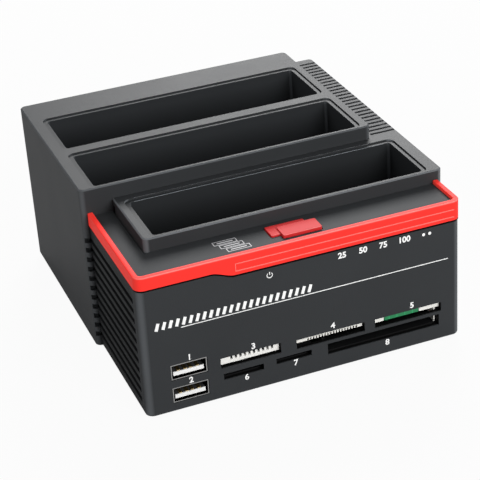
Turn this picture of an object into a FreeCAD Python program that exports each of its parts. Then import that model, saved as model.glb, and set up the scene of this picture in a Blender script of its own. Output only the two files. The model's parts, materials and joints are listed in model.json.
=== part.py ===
import FreeCAD, Part
import math
import os

Vector = FreeCAD.Vector

# Drive bays: openings for upright drives, two high ones behind and a lower one in front
bay_length = 103.0
bay_width = 27.0
bay_gap = 7.8
bay_corner = 1.2
rim_margin = 5.6
upper_bay_shift = 0.7
front_bay_shift = -1.2
front_rim = 2.6
rear_margin = 17.9
vent_strip = 11.8
deck_depth = 17.95

# Levels above the housing's bottom edge, and the feet below it
deck_height = 54.4
bay_step = 5.1
upper_step = 5.5
foot_proud = 1.5
foot_radius = 5.0
foot_inset_x = 17.6
foot_inset_y = 15.0

# Walls, edges, clearances, and how far cutting shapes run past a face or the whole object
wall = 2.2
top_wall = 2.6
base_wall = 2.0
bezel_wall = 2.4
deck_wall = 2.0
liner_wall = 1.2
liner_floor = 1.5
edge_bevel = 0.45
rear_corner = 2.0
front_corner = 2.2
seat_gap = 0.2
touch_gap = 0.3
over = 1.0
far = 300.0
tiny = 1e-4

# Front bezel: side faces lean inwards towards the top
cheek_inset_low = 2.0
cheek_inset_high = 2.4
nose_radius = 3.0
sill_round = 0.6
sill_steps = 2
end_rib = 5.4

# Red light trim along the edge of the front deck
trim_proud = 0.25
trim_web = 1.6
trim_lip = 1.7
trim_lip_height = 1.3
band_height = 5.3
deep_band_height = 8.3
band_step_x = -34.4
band_step_run = 9.2
band_line_width = 0.35
band_line_depth = 0.3
band_line_upper = 3.0
band_line_lower = 5.9

# Sunk rims of the drive wells
ledge_width = 1.5
ledge_sink = 0.6
flange = 0.8
well_floor_height = 19.0

# Slots of the bezel's left cheek, which run on as grooves into the corner of the upper shell
cheek_slots = 11
cheek_slot_pitch = 3.97
cheek_slot_height = 2.0
cheek_slot_first = 4.9
cheek_slot_rear = 1.8
cheek_slot_front = 5.0
cheek_groove_depth = 1.2

# Louvres across the vented strip and over its right edge
louvres = 26
louvre_pitch = 2.96
louvre_width = 1.3
louvre_rear = 5.1
louvre_inset = 1.2
louvre_drop = 14.0

# Copy key on the deck: two overlapping rectangles, the front one raised
key_width = 14.6
key_depth = 6.8
key_left = -8.4
key_front = 7.9
key_shift_x = 3.5
key_shift_y = 2.5
key_proud = 0.6
key_raise = 0.5
key_corner = 0.6
key_flange = 1.0
key_flange_width = 1.0
key_stem_half = 1.5
key_stem = 2.4
key_travel = 1.0
key_gap = 0.35

# Tactile switch and the small board that carries it under the deck
plunger_radius = 1.6
plunger_length = 2.2
plunger_proud = 1.4
switch_size = 6.2
switch_height = 3.5
key_board_thickness = 1.2
key_board_length = 38.0
key_board_depth = 10.0
key_clip_width = 6.0
key_clip_grip = 1.5
key_clip_wall = 2.0

# Front ports, measured from the middle of the front face and from the bottom edge
port_x = -44.5
port_low = 3.45
port_width = 13.2
port_height = 5.9
port_pitch = 9.3
port_depth = 14.0
port_shell = 0.3
port_tongue_low = 1.1
port_tongue_thickness = 1.5
port_tongue_width = 11.2
port_tongue_setback = 1.0
port_contact_places = (-3.5, -1.0, 1.0, 3.5)
port_contact_width = 1.2
port_contact_length = 6.0
port_contact_thickness = 0.15
port_contact_setback = 0.5

# Card slots: left edge, width, lower edge, height; rows of teeth and the board's tab as shares of a width
left_card_slot = (-32.9, 22.8, 12.2, 4.2)
middle_card_slot = (-4.2, 26.6, 11.9, 3.8)
right_card_slot = (26.4, 26.6, 11.9, 3.7)
small_card_slot = (-32.1, 15.1, 7.3, 2.5)
tiny_card_slot = (-12.2, 13.6, 7.9, 2.3)
wide_card_slot = (7.7, 44.4, 6.2, 4.5)
left_contacts = 10
left_card_gap = 0.6
left_tooth_height = 2.2
middle_contacts = 18
middle_card_gap = 1.5
middle_tooth_height = 1.0
socket_side = 1.2
slot_lip = 0.5
slot_relief = 0.4
wide_guide = 0.9
contact_setback = 1.6
contact_block_depth = 4.6
tooth_depth = 1.0
tooth_row_start = 0.18
tooth_row_share = 0.75
tab_start = 0.17
tab_end = 0.68
wide_socket_depth = 40.0
wide_card_depth = 34.0
small_card_depth = 14.0
small_socket_depth = 19.0

# Boards
board_thickness = 1.6
main_board_height = 13.1
main_board_half = 51.0
main_board_rear = 5.0
board_notch_x = -35.5
board_notch_depth = 18.0
card_board_thickness = 1.0
card_board_half = 51.4
card_board_depth = 42.0
post_half = 2.8
post_hole = 1.15
post_inset = 6.0
front_post_x = -8.0
front_post_setback = 25.2
board_rib = 2.0
rib_setback = 2.8

# Drive connectors standing on the main board
socket_height = 9.0
drive_socket_length = 42.0
drive_socket_depth = 6.0
drive_socket_offset = -15.0
power_slot_length = 20.6
data_slot_length = 10.4
drive_slot_width = 2.6
drive_slot_depth = 6.0
drive_slot_margin = 3.4
contact_width = 0.6
contact_pitch = 1.27
contact_thickness = 0.4
contact_drop = 1.0
power_contacts = 15
data_contacts = 7
pin_socket_length = 51.0
pin_socket_depth = 6.4
pin_socket_offset = -20.0
pin_columns = 20
pin_pitch = 2.54
pin_hole = 0.8
pin_hole_depth = 6.0
power_length = 21.0
power_depth = 8.4
power_offset = 30.0
power_holes = 4
power_pitch = 5.08
power_hole = 3.2
window_gap = 0.6

# Indicator lights behind the trim
led_places = (-13.0, 14.6, 22.6, 30.4, 38.5, 47.0)
led_width = 2.6
led_height = 1.6
led_drop = 4.5
led_board_thickness = 1.0
led_board_height = 9.0
led_board_margin = 5.0

# Rear connectors and switch
jack_inset = 19.0
jack_width = 9.0
jack_height = 11.0
jack_collar_radius = 4.2
jack_bore_radius = 3.15
jack_bore_depth = 9.5
jack_pin_radius = 1.0
jack_pin_length = 8.0
host_pitch = 20.0
host_width = 12.0
host_height = 10.9
host_mouth_width = 8.6
host_mouth_height = 7.9
host_shoulder = 1.7
host_depth = 11.0
host_tongue_width = 5.4
host_tongue_height = 3.0
host_tongue_length = 8.5
rear_part_depth = 13.6
switch_pitch = 36.0
switch_height_mid = 34.0
switch_frame_width = 15.0
switch_frame_height = 21.0
switch_flange = 1.2
switch_body_width = 12.6
switch_body_height = 18.6
switch_body_depth = 11.0
rocker_width = 9.6
rocker_height = 15.4
rocker_tilt = 8.0
rocker_crown = 1.6
rocker_skirt = 4.0
rocker_skirt_share = 0.7
rocker_pivot_radius = 1.2
rocker_pivot_reach = 0.9
rocker_pivot_depth = 1.4
pivot_gap = 0.08
rocker_gap = 0.4

# Fasteners: screws at the rear, tongues of the bottom plate at the front
screw_radius = 1.1
screw_length = 8.0
screw_head_radius = 2.1
screw_head_height = 0.9
screw_head_sink = 1.1
screw_hole_radius = 1.6
tongue_x = 40.0
tongue_width = 10.0
tongue_thickness = 1.0
tongue_reach = 0.9
rear_boss_half = 2.8
rear_boss_inset = 7.6
board_screw_length = 6.0

# Loose components on the main board
chip_size = 14.0
chip_height = 1.2
chip_places = ((24.0, 19.0), (26.0, -16.0), (-18.0, 19.0))
capacitor_radius = 4.0
capacitor_height = 11.0
capacitor_inset = 1.0
capacitor_offsets = (14.0, 23.0)

# Sizes worked out from the values above
block_width = bay_length + 2 * rim_margin
housing_width = block_width + vent_strip
bay_pitch = bay_width + bay_gap
upper_depth = rear_margin + bay_pitch + bay_width + front_rim
housing_depth = upper_depth + bay_pitch + deck_depth
tilt = math.radians(rocker_tilt)
rocker_reach = (rocker_crown + rocker_skirt / 2) * math.cos(tilt) + rocker_height / 2 * math.sin(tilt)
rocker_peak = rocker_reach - rocker_skirt / 2
total_depth = trim_proud + housing_depth + switch_flange + rocker_peak

left_x = -housing_width / 2
right_x = housing_width / 2
upper_right_x = left_x + block_width
block_left_x = right_x - block_width
front_y = -total_depth / 2 + trim_proud
rear_y = front_y + housing_depth
upper_front_y = rear_y - upper_depth
block_front_y = upper_front_y - bay_pitch
sill_z = foot_proud
deck_z = sill_z + deck_height
bay_z = deck_z + bay_step
upper_z = bay_z + upper_step
trim_top_z = deck_z + trim_lip_height
deck_under_z = deck_z - deck_wall
base_top_z = sill_z + base_wall
main_low_z = sill_z + main_board_height
main_top_z = main_low_z + board_thickness
card_top_z = sill_z + port_low
card_low_z = card_top_z - card_board_thickness
bezel_in_y = front_y + bezel_wall
well_floor_z = sill_z + well_floor_height
upper_bay_x = left_x + rim_margin + upper_bay_shift
front_bay_x = block_left_x + rim_margin + front_bay_shift
jack_x = jack_inset - main_board_half
host_x = jack_x + host_pitch
switch_x = host_x + switch_pitch
upper_card_slots = (left_card_slot, middle_card_slot, right_card_slot)
lower_card_slots = (small_card_slot, tiny_card_slot, wide_card_slot)
block_front_wall = front_rim - liner_wall - seat_gap
rear_in_y = rear_y - wall
screw_seat_z = sill_z + screw_head_sink
screw_top_z = screw_seat_z + screw_length


def bay_front_y(number):
    """Front edge of a drive opening, counted from the rear one."""
    return rear_y - rear_margin - bay_width - number * bay_pitch


def block(x0, x1, y0, y1, z0, z1):
    """Box between two corners."""
    return Part.makeBox(x1 - x0, y1 - y0, z1 - z0, Vector(x0, y0, z0))


def rod(x, y, z0, z1, radius):
    """Upright cylinder."""
    return Part.makeCylinder(radius, z1 - z0, Vector(x, y, z0))


def rounded_wire(corners, radii, z):
    """Closed outline at height z whose corners are tangent arcs of the given radii."""
    edges = []
    last = None
    first = None
    count = len(corners)
    for number in range(count):
        here = Vector(*corners[number], z)
        to_last = (Vector(*corners[number - 1], z) - here).normalize()
        to_next = (Vector(*corners[(number + 1) % count], z) - here).normalize()
        radius = radii[number]
        start = here
        end = here
        if radius > 0:
            half = to_last.getAngle(to_next) / 2
            start = here + to_last * (radius / math.tan(half))
            end = here + to_next * (radius / math.tan(half))
            middle_way = (to_last + to_next).normalize()
            middle = here + middle_way * (radius / math.sin(half) - radius)
        if last is None:
            first = start
        else:
            edges.append(Part.LineSegment(last, start).toShape())
        if radius > 0:
            edges.append(Part.Arc(start, middle, end).toShape())
        last = end
    edges.append(Part.LineSegment(last, first).toShape())
    return Part.Wire(edges)


def plate(corners, radii, z0, z1):
    """Upright prism on a rounded outline."""
    face = Part.Face(rounded_wire(corners, radii, z0))
    return face.extrude(Vector(0, 0, z1 - z0))


def rounded_block(x0, x1, y0, y1, z0, z1, radius):
    """Box with round upright edges."""
    corners = [(x0, y0), (x1, y0), (x1, y1), (x0, y1)]
    return plate(corners, [radius] * 4, z0, z1)


def joined(shapes):
    """One solid from touching or overlapping shapes, with coplanar faces merged."""
    return shapes[0].fuse(shapes[1:]).removeSplitter()


def bevel_top(solid, z, keep):
    """Bevels the edges of a solid's top outline where keep accepts the edge's middle."""
    edges = []
    for edge in solid.Edges:
        level = all(abs(point.Point.z - z) < tiny for point in edge.Vertexes)
        if level and keep(edge.CenterOfMass):
            edges.append(edge)
    return solid.makeChamfer(edge_bevel, edges)


def half_width(z):
    """Half the bezel's width at a height, on a straight lean from the sill to the trim."""
    share = (z - sill_z) / (trim_top_z - sill_z)
    inset = cheek_inset_low + (cheek_inset_high - cheek_inset_low) * share
    return right_x - inset


def nose_wire(offset, z):
    """Plan outline of the front part at a height, moved outwards by offset."""
    side = half_width(z) + offset
    near = front_y - offset
    corners = [(-side, near), (side, near), (side, rear_y), (-side, rear_y)]
    radius = nose_radius + offset
    return rounded_wire(corners, [radius, radius, 0, 0], z)


def nose(offset, low_z, high_z):
    """Solid between two heights of the front part's leaning outline."""
    return Part.makeLoft([nose_wire(offset, low_z), nose_wire(offset, high_z)], True, True)


def nose_footing():
    """Rolled lower edge of the front part: outlines that step out along a quarter circle."""
    wires = []
    for step in range(sill_steps + 1):
        turn = math.pi / 2 * step / sill_steps
        inset = sill_round * (1 - math.sin(turn))
        wires.append(nose_wire(-inset, sill_z + sill_round * (1 - math.cos(turn))))
    return Part.makeLoft(wires, True, True)


def band_region(drop):
    """Space the trim fills: above a lower edge that steps down in an S on the front face."""
    shallow = trim_top_z - band_height - drop
    deep = trim_top_z - deep_band_height - drop
    near = front_y - over
    step_end = band_step_x + band_step_run
    step_middle = band_step_x + band_step_run / 2
    points = [Vector(band_step_x, near, shallow), Vector(step_middle, near, shallow),
              Vector(step_middle, near, deep), Vector(step_end, near, deep)]
    bend = Part.BezierCurve()
    bend.setPoles(points)
    corners = [points[-1], Vector(far, near, deep), Vector(far, near, trim_top_z),
               Vector(-far, near, trim_top_z), Vector(-far, near, shallow), points[0]]
    edges = [bend.toShape()]
    for number in range(len(corners) - 1):
        edges.append(Part.LineSegment(corners[number], corners[number + 1]).toShape())
    return Part.Face(Part.Wire(edges)).extrude(Vector(0, far, 0))


def behind_front_part(gap):
    """Everything that the front part leaves free for the front bay and the rear block."""
    bay_side = block(block_left_x - gap, far, block_front_y - gap, far, -far, far)
    rear_side = block(-far, far, upper_front_y, far, -far, far)
    return bay_side.fuse(rear_side)


def key_outline(number):
    """Corners of one of the key's two rectangles: 0 is the rear one, 1 the raised front one."""
    x0 = key_left + number * key_shift_x
    y0 = front_y + key_front - number * key_shift_y
    return x0, x0 + key_width, y0, y0 + key_depth


def key_solid(number, grow, z0, z1):
    """Prism on one of the key's rectangles, grown all round."""
    x0, x1, y0, y1 = key_outline(number)
    return rounded_block(x0 - grow, x1 + grow, y0 - grow, y1 + grow, z0, z1, key_corner + grow)


def slot_hole(slot, y0, y1):
    """Opening of one card slot between two depths."""
    left, width, low, height = slot
    return block(left, left + width, y0, y1, sill_z + low, sill_z + low + height)


def slot_pocket(slot):
    """Relief behind the thin lower lip of a card slot, open to the inside of the wall."""
    left, width, low, height = slot
    return block(left, left + width, front_y + slot_lip, bezel_in_y + over,
                 sill_z + low - slot_relief, sill_z + low + height)


def port_low_z(number):
    """Underside of a front port, counted from the lower one."""
    return sill_z + port_low + number * port_pitch


def port_block(number, grow, y0, y1):
    """Outside of a front port's shell, grown all round."""
    low = port_low_z(number)
    x0 = port_x - port_width / 2
    return block(x0 - grow, x0 + port_width + grow, y0, y1, low - grow, low + port_height + grow)


def tongue_block(side, grow):
    """Tongue of the bottom plate that hooks into the bezel's front wall, grown all round."""
    x = side * tongue_x
    across = tongue_width / 2 + grow
    middle = (sill_z + base_top_z) / 2
    upright = tongue_thickness / 2 + grow
    return block(x - across, x + across, bezel_in_y - tongue_reach - grow, bezel_in_y + bezel_wall,
                 middle - upright, middle + upright)


def cheek_slot(number, depth, y0, y1):
    """One slot of the left cheek between two places along it, cut to a depth below its face."""
    z = sill_z + cheek_slot_first + number * cheek_slot_pitch
    half = cheek_slot_height / 2
    return block(-far, depth - half_width(z), y0, y1, z - half, z + half)


def rear_screw_place(side):
    """Middle of a rear boss."""
    return side * (right_x - rear_boss_inset), rear_y - rear_boss_inset


def rear_boss(side, top_z):
    """Square boss in a rear corner that takes a housing screw."""
    x, y = rear_screw_place(side)
    half = rear_boss_half
    return block(x - half, x + half, y - half, y + half, base_top_z, top_z)


def screw_pilot(side):
    """Hole of a housing screw in a rear boss."""
    x, y = rear_screw_place(side)
    return rod(x, y, 0, screw_top_z + over, post_hole)


def board_post_places():
    """Middles of the posts that carry the main board."""
    across = main_board_half - post_inset
    back = rear_y - main_board_rear - post_inset
    return [(-across, back), (across, back), (front_post_x, front_y + front_post_setback)]


def post_block(x, y, grow):
    """Square post between the bottom plate and the main board, grown sideways."""
    half = post_half + grow
    return block(x - half, x + half, y - half, y + half, base_top_z, main_low_z)


def well_cut(x0, front, top_z):
    """Stepped opening that takes a drive well: a rebate for the flange over a through hole."""
    body = liner_wall + seat_gap
    rim = ledge_width + seat_gap
    seat_z = top_z - ledge_sink - flange
    x1 = x0 + bay_length
    back = front + bay_width
    through = block(x0 - body, x1 + body, front - body, back + body, sill_z, seat_z)
    rebate = rounded_block(x0 - rim, x1 + rim, front - rim, back + rim,
                           seat_z, top_z + far, bay_corner + body)
    return through.fuse(rebate)


def drive_well(x0, front, top_z, windows):
    """Open tub with a sunk flange and windows for the sockets in its floor."""
    rim_z = top_z - ledge_sink
    x1 = x0 + bay_length
    back = front + bay_width
    low = well_floor_z - liner_floor
    body = block(x0 - liner_wall, x1 + liner_wall, front - liner_wall, back + liner_wall,
                 low, rim_z - flange)
    lip = rounded_block(x0 - ledge_width, x1 + ledge_width, front - ledge_width, back + ledge_width,
                        rim_z - flange, rim_z, bay_corner + liner_wall)
    hollow = rounded_block(x0, x1, front, back, well_floor_z, rim_z + over, bay_corner)
    return joined([body, lip]).cut([hollow] + windows)


def floor_window(x, y, length, depth):
    """Hole in a well's floor round a socket."""
    across = length / 2 + window_gap
    along = depth / 2 + window_gap
    return block(x - across, x + across, y - along, y + along, main_top_z, well_floor_z + over)


def upper_shell():
    """Left wall, rear wall and the raised top with the two rear drive openings."""
    corners = [(left_x, upper_front_y), (upper_right_x, upper_front_y),
               (upper_right_x, rear_y), (left_x, rear_y)]
    head = plate(corners, [front_corner, front_corner, rear_corner, rear_corner], bay_z, upper_z)
    head = bevel_top(head, upper_z, lambda middle: True)
    foot = plate(corners, [front_corner, 0, 0, rear_corner], sill_z, bay_z)
    outer = joined([head, foot])
    inside = block(left_x + wall, upper_right_x - wall, upper_front_y + block_front_wall, rear_in_y,
                   -far, upper_z - top_wall)
    open_front = block(left_x + end_rib, far, upper_front_y - far, upper_front_y + wall,
                       -far, deck_under_z)
    open_right = block(upper_right_x - 2 * wall, far, upper_front_y - far, rear_in_y,
                       -far, bay_z - top_wall)
    shell = outer.cut([inside, open_front, open_right])
    bays = [well_cut(upper_bay_x, bay_front_y(number), upper_z) for number in (0, 1)]
    shell = joined([shell, rear_boss(-1, upper_z - top_wall)])
    grooves = []
    for number in range(cheek_slots):
        grooves.append(cheek_slot(number, cheek_groove_depth, upper_front_y - over,
                                  upper_front_y + cheek_groove_depth))
    return shell.cut(bays + grooves + [screw_pilot(-1)] + rear_openings())


def rear_openings():
    """Holes in the rear wall for the connectors and the switch."""
    jack_z = main_top_z + jack_height / 2
    start = rear_in_y - over
    jack = Part.makeCylinder(jack_collar_radius + touch_gap, wall + 2 * over,
                             Vector(jack_x, start, jack_z), Vector(0, 1, 0))
    host = block(host_x - host_width / 2 - touch_gap, host_x + host_width / 2 + touch_gap,
                 start, far, main_top_z - touch_gap, main_top_z + host_height + touch_gap)
    switch = switch_space(switch_body_width + 2 * seat_gap, switch_body_height + 2 * seat_gap, start, far)
    return [jack, host, switch]


def switch_space(width, height, y0, y1):
    """Box centred on the power switch."""
    z = sill_z + switch_height_mid
    return block(switch_x - width / 2, switch_x + width / 2, y0, y1, z - height / 2, z + height / 2)


def off_the_seams(middle):
    """Tells whether an edge of the vented shell lies clear of its seams with the upper shell."""
    return abs(middle.x - upper_right_x) > tiny and abs(middle.y - upper_front_y) > tiny


def vent_shell():
    """Right wall, louvred strip and the front drive bay, one step below the upper shell."""
    corners = [(block_left_x, block_front_y), (right_x, block_front_y), (right_x, rear_y),
               (upper_right_x, rear_y), (upper_right_x, upper_front_y), (block_left_x, upper_front_y)]
    radii = [front_corner, front_corner, rear_corner, 0, 0, 0]
    outer = bevel_top(plate(corners, radii, sill_z, bay_z), bay_z, off_the_seams)
    front_in = block_front_y + block_front_wall
    under_z = bay_z - top_wall
    under_bay = block(block_left_x + block_front_wall, right_x - wall, front_in, rear_in_y, -far, under_z)
    under_strip = block(-far, right_x - wall, upper_front_y - wall, rear_in_y, -far, under_z)
    skirt_z = deck_under_z - board_rib
    open_front = block(-far, right_x - end_rib, block_front_y - far, upper_front_y + far, -far, skirt_z)
    inside_strip = block(-far, right_x - wall, upper_front_y - far, rear_in_y, -far, skirt_z)
    shell = outer.cut([under_bay, under_strip, open_front.common(inside_strip)])
    slots = []
    for number in range(louvres):
        y = rear_y - louvre_rear - number * louvre_pitch
        slots.append(block(upper_right_x + louvre_inset, far, y - louvre_width / 2, y + louvre_width / 2,
                           bay_z - louvre_drop, far))
    shell = shell.cut(slots + [well_cut(front_bay_x, bay_front_y(2), bay_z)])
    return joined([shell, rear_boss(1, under_z)]).cut(screw_pilot(1))


def front_bezel():
    """Front face, leaning cheeks and the deck in one moulding, with a rebate for the trim."""
    outer = joined([nose_footing(), nose(0, sill_z + sill_round, deck_z)])
    inside = nose(-bezel_wall, sill_z - foot_proud, deck_under_z)
    shell = outer.cut([inside, behind_front_part(touch_gap)])
    shell = joined([shell, key_clip(-1), key_clip(1)])
    skin = nose(over, sill_z, trim_top_z + over).cut(nose(-trim_web, sill_z - over, trim_top_z + 2 * over))
    openings = [skin.common(band_region(0)), key_opening()]
    openings += [tongue_block(side, seat_gap) for side in (-1, 1)]
    for slot in upper_card_slots + lower_card_slots:
        openings.append(slot_hole(slot, front_y - over, bezel_in_y + over))
        openings.append(slot_pocket(slot))
    for number in (0, 1):
        openings.append(port_block(number, seat_gap, front_y - over, bezel_in_y + over))
    for x in led_places:
        openings.append(light_space(x, touch_gap, front_y, bezel_in_y + over))
    slot_start = front_y + cheek_slot_front
    for number in range(cheek_slots):
        openings.append(cheek_slot(number, 2 * bezel_wall, slot_start, upper_front_y - cheek_slot_rear))
        openings.append(cheek_slot(number, cheek_groove_depth, slot_start, upper_front_y + over))
    return shell.cut(openings)


def light_trim():
    """Red U-shaped light strip: a web let into the bezel, a lip on the deck, a groove round its window."""
    web = nose(trim_proud, sill_z, trim_top_z).cut(nose(-trim_web, sill_z - over, trim_top_z + over))
    web = web.common(band_region(0))
    lip = nose(trim_proud, deck_z, trim_top_z).cut(nose(-trim_lip, deck_z - over, trim_top_z + over))
    trim = joined([web, lip]).cut(behind_front_part(touch_gap))
    left = band_step_x + band_step_run
    right = half_width(trim_top_z) - nose_radius
    groove_y = front_y - trim_proud + band_line_depth
    upper = trim_top_z - band_line_upper
    lower = trim_top_z - band_line_lower
    line = band_line_width
    outline = block(left, right, front_y - over, groove_y, lower - line, upper)
    panel = block(left + line, right + over, front_y - over, groove_y, lower, upper - line)
    return trim.cut(outline.cut(panel))


def key_opening():
    """Hole in the deck that lets the two-rectangle key through."""
    holes = [key_solid(number, key_gap, deck_under_z - over, deck_z + over) for number in (0, 1)]
    return joined(holes)


def key_middle():
    """Middle of the key's overlap, where its stem presses the switch."""
    rear = key_outline(0)
    front = key_outline(1)
    return (front[0] + rear[1]) / 2, (rear[2] + front[3]) / 2


def plunger_top_z():
    """Level where the key's stem meets the switch plunger."""
    return deck_under_z - key_flange - key_stem


def key_board_top_z():
    """Level of the small board that carries the tactile switch."""
    return plunger_top_z() - plunger_proud - switch_height


def key_clip(side):
    """Clip under the deck that grips one end of the key board in a slot."""
    x, y = key_middle()
    end = x + side * key_board_length / 2
    inner = end - side * key_clip_grip
    outer = end + side * (seat_gap + key_clip_wall)
    board_low = key_board_top_z() - key_board_thickness
    clip = block(min(inner, outer), max(inner, outer), y - key_clip_width / 2, y + key_clip_width / 2,
                 board_low - key_clip_grip, deck_under_z)
    slot_end = end + side * seat_gap
    slot = block(min(x, slot_end), max(x, slot_end), -far, far, board_low, key_board_top_z())
    return clip.cut(slot)


def copy_button():
    """Red key: two offset rectangles on a retaining flange, with a stem underneath."""
    low = key_solid(0, 0, deck_under_z, deck_z + key_proud)
    high = key_solid(1, 0, deck_under_z, deck_z + key_proud + key_raise)
    grow = key_gap + key_flange_width
    flange_z = deck_under_z - key_flange
    flanges = []
    for number in (0, 1):
        x0, x1, y0, y1 = key_outline(number)
        flanges.append(block(x0 - grow, x1 + grow, y0 - grow, y1 + grow, flange_z, deck_under_z))
    x, y = key_middle()
    half = key_stem_half
    stem = block(x - half, x + half, y - half, y + half, plunger_top_z(), deck_under_z)
    return joined([low, high, stem] + flanges)


def switch_plunger():
    """Plunger of the tactile switch, pushed by the key's stem."""
    x, y = key_middle()
    return rod(x, y, plunger_top_z() - plunger_length, plunger_top_z(), plunger_radius)


def key_switch():
    """Tactile switch body with the plunger's hole."""
    x, y = key_middle()
    half = switch_size / 2
    low = key_board_top_z()
    body = block(x - half, x + half, y - half, y + half, low, low + switch_height)
    hole_low = plunger_top_z() - plunger_length - key_travel - touch_gap
    return body.cut(rod(x, y, hole_low, low + switch_height + over, plunger_radius + touch_gap))


def key_board():
    """Small board clipped under the deck."""
    x, y = key_middle()
    top = key_board_top_z()
    across = key_board_length / 2
    along = key_board_depth / 2
    return block(x - across, x + across, y - along, y + along, top - key_board_thickness, top)


def pan_screw(x, y):
    """Pan-head housing screw, driven up from below."""
    head = rod(x, y, screw_seat_z - screw_head_height, screw_seat_z, screw_head_radius)
    return joined([head, rod(x, y, screw_seat_z, screw_top_z, screw_radius)])


def hexagon_screw(x, y):
    """Hexagon-head board screw, driven down into its post."""
    spoke = Vector(screw_head_radius, 0, main_top_z)
    turns = [FreeCAD.Rotation(Vector(0, 0, 1), 60 * corner) for corner in range(7)]
    corners = [Vector(x, y, 0) + turn.multVec(spoke) for turn in turns]
    head = Part.Face(Part.makePolygon(corners)).extrude(Vector(0, 0, screw_head_height))
    return joined([head, rod(x, y, main_top_z - board_screw_length, main_top_z, screw_radius)])


def base_tray():
    """Bottom plate with sunk screw holes, board posts, board ribs and tongues for the bezel."""
    inset = wall + seat_gap
    side = half_width(sill_z) - bezel_wall
    corners = [(-side, bezel_in_y), (side, bezel_in_y), (side, block_front_y + inset),
               (right_x - inset, block_front_y + inset), (right_x - inset, rear_in_y - seat_gap),
               (left_x + inset, rear_in_y - seat_gap), (left_x + inset, upper_front_y + inset),
               (-side, upper_front_y + inset)]
    tray = [plate(corners, [0] * 8, sill_z, base_top_z)]
    for x, y in board_post_places():
        tray.append(post_block(x, y, 0))
    rib_back = bezel_in_y + card_board_depth
    for x in (-card_board_half / 2, 0, card_board_half / 2):
        tray.append(block(x - board_rib / 2, x + board_rib / 2, bezel_in_y + rib_setback, rib_back,
                          base_top_z, card_low_z))
    cuts = []
    for side in (-1, 1):
        x, y = rear_screw_place(side)
        cuts.append(rod(x, y, sill_z - over, far, screw_hole_radius))
        cuts.append(rod(x, y, sill_z - over, screw_seat_z, screw_head_radius + seat_gap))
    for x, y in board_post_places():
        cuts.append(rod(x, y, main_low_z - board_screw_length, far, post_hole))
    for side, front in ((-1, upper_front_y), (1, block_front_y)):
        x = side * right_x
        inner = side * (right_x - end_rib - seat_gap)
        back = front + block_front_wall + seat_gap
        cuts.append(block(min(x, inner), max(x, inner), front - seat_gap, back, -far, far))
    tray = joined(tray).cut(cuts)
    keep = [nose(-bezel_wall - seat_gap, sill_z - over, deck_z),
            block(-far, far, upper_front_y, far, -far, far),
            block(0, far, block_front_y, far, -far, far)]
    return joined([tray.common(joined(keep)), tongue_block(-1, 0), tongue_block(1, 0)])


def foot_places():
    """Middles of the rubber feet."""
    across = right_x - foot_inset_x
    front = front_y + foot_inset_y
    back = rear_y - foot_inset_y
    return [(side * across, y) for side in (-1, 1) for y in (front, back)]


def rubber_feet():
    """Round feet stuck under the bottom plate."""
    return Part.makeCompound([rod(x, y, 0, sill_z, foot_radius) for x, y in foot_places()])


def main_board():
    """Large board under the wells, with a tab in the right card slot and a notch for the front ports."""
    front = bezel_in_y + contact_block_depth
    back = rear_y - main_board_rear
    board = block(-main_board_half, main_board_half, front, back, main_low_z, main_top_z)
    tab_left, tab_right = board_tab()
    tab = block(tab_left, tab_right, front_y + contact_setback, front, main_low_z, main_top_z)
    notch = block(-far, board_notch_x, -far, front_y + board_notch_depth, -far, far)
    holes = [rod(x, y, 0, far, screw_hole_radius) for x, y in board_post_places()]
    return joined([board, tab]).cut([notch] + holes)


def board_tab():
    """Left and right edge of the board's tab between the right slot's guides."""
    left, width, low, height = right_card_slot
    return left + width * tab_start, left + width * tab_end


def board_screws():
    """Screws that hold the main board on its posts."""
    return Part.makeCompound([hexagon_screw(x, y) for x, y in board_post_places()])


def base_screws():
    """Housing screws driven up from the bottom."""
    places = [rear_screw_place(-1), rear_screw_place(1)]
    return Part.makeCompound([pan_screw(x, y) for x, y in places])


def card_board():
    """Lower board for the front ports and the lower row of card slots."""
    board = block(-card_board_half, card_board_half, bezel_in_y + touch_gap, bezel_in_y + card_board_depth,
                  card_low_z, card_top_z)
    cuts = [post_block(x, y, touch_gap) for x, y in board_post_places()]
    return board.cut(cuts)


def contact_strip(slot, card_gap):
    """White strip that stands in a card slot above a gap and meets the main board behind the wall."""
    left, width, low, height = slot
    return block(left + touch_gap, left + width - touch_gap,
                 front_y + contact_setback, bezel_in_y + contact_block_depth,
                 sill_z + low + card_gap, sill_z + low + height - seat_gap)


def tooth_gaps(slot, contacts, z0, z1):
    """Notches between the teeth of a contact strip, between two heights."""
    left, width, low, height = slot
    pitch = width * tooth_row_share / contacts
    start = left + width * tooth_row_start
    near = front_y + contact_setback
    notches = []
    for number in range(contacts):
        x = start + number * pitch
        notches.append(block(x, x + pitch / 2, near - over, near + tooth_depth, z0, z1))
    return notches


def left_card_contacts():
    """Contact strip of the left slot, its teeth standing up."""
    strip = contact_strip(left_card_slot, left_card_gap)
    top = strip.BoundBox.ZMax
    return strip.cut(tooth_gaps(left_card_slot, left_contacts, top - left_tooth_height, top + over))


def middle_card_contacts():
    """Contact strip of the middle slot, its teeth hanging down."""
    strip = contact_strip(middle_card_slot, middle_card_gap)
    low = strip.BoundBox.ZMin
    return strip.cut(tooth_gaps(middle_card_slot, middle_contacts, low - over, low + middle_tooth_height))


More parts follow.
